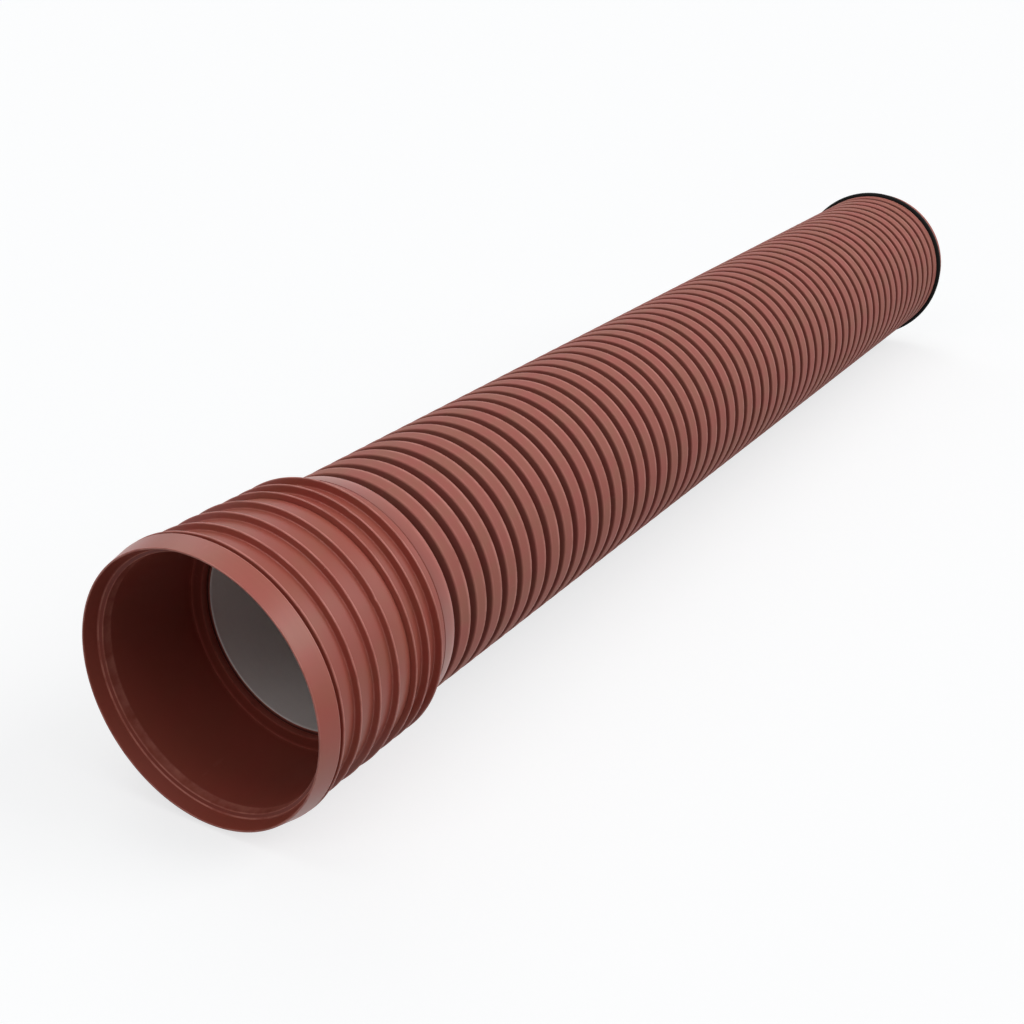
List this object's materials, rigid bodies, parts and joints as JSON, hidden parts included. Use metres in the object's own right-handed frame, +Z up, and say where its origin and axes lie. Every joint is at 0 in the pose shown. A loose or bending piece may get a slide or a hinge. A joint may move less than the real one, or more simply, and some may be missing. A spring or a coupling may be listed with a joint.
{
  "type": "plastic sewer pipe",
  "caption": "Twin-wall corrugated plastic sewer pipe length with a ribbed push-fit socket at one end and a rubber sealing ring on the spigot end.",
  "frame": {"origin": "on the floor plane, under the middle of the pipe's whole length", "axes": "+X along the pipe from the socket's mouth to the spigot end, +Z up, +Y across the pipe"},
  "size_m": [3.2932, 0.511, 0.511],
  "materials": {
    "corrugated_wall": "red-brown extruded polypropylene, satin",
    "inner_wall": "grey extruded polypropylene, smooth satin",
    "socket": "red-brown moulded polypropylene, satin with a slight sheen",
    "sealing_ring": "black moulded rubber"
  },
  "bodies": {
    "root": {"corrugated_wall": "corrugated_wall", "inner_wall": "inner_wall", "socket": "socket", "sealing_ring": "sealing_ring"}
  },
  "joints": []
}
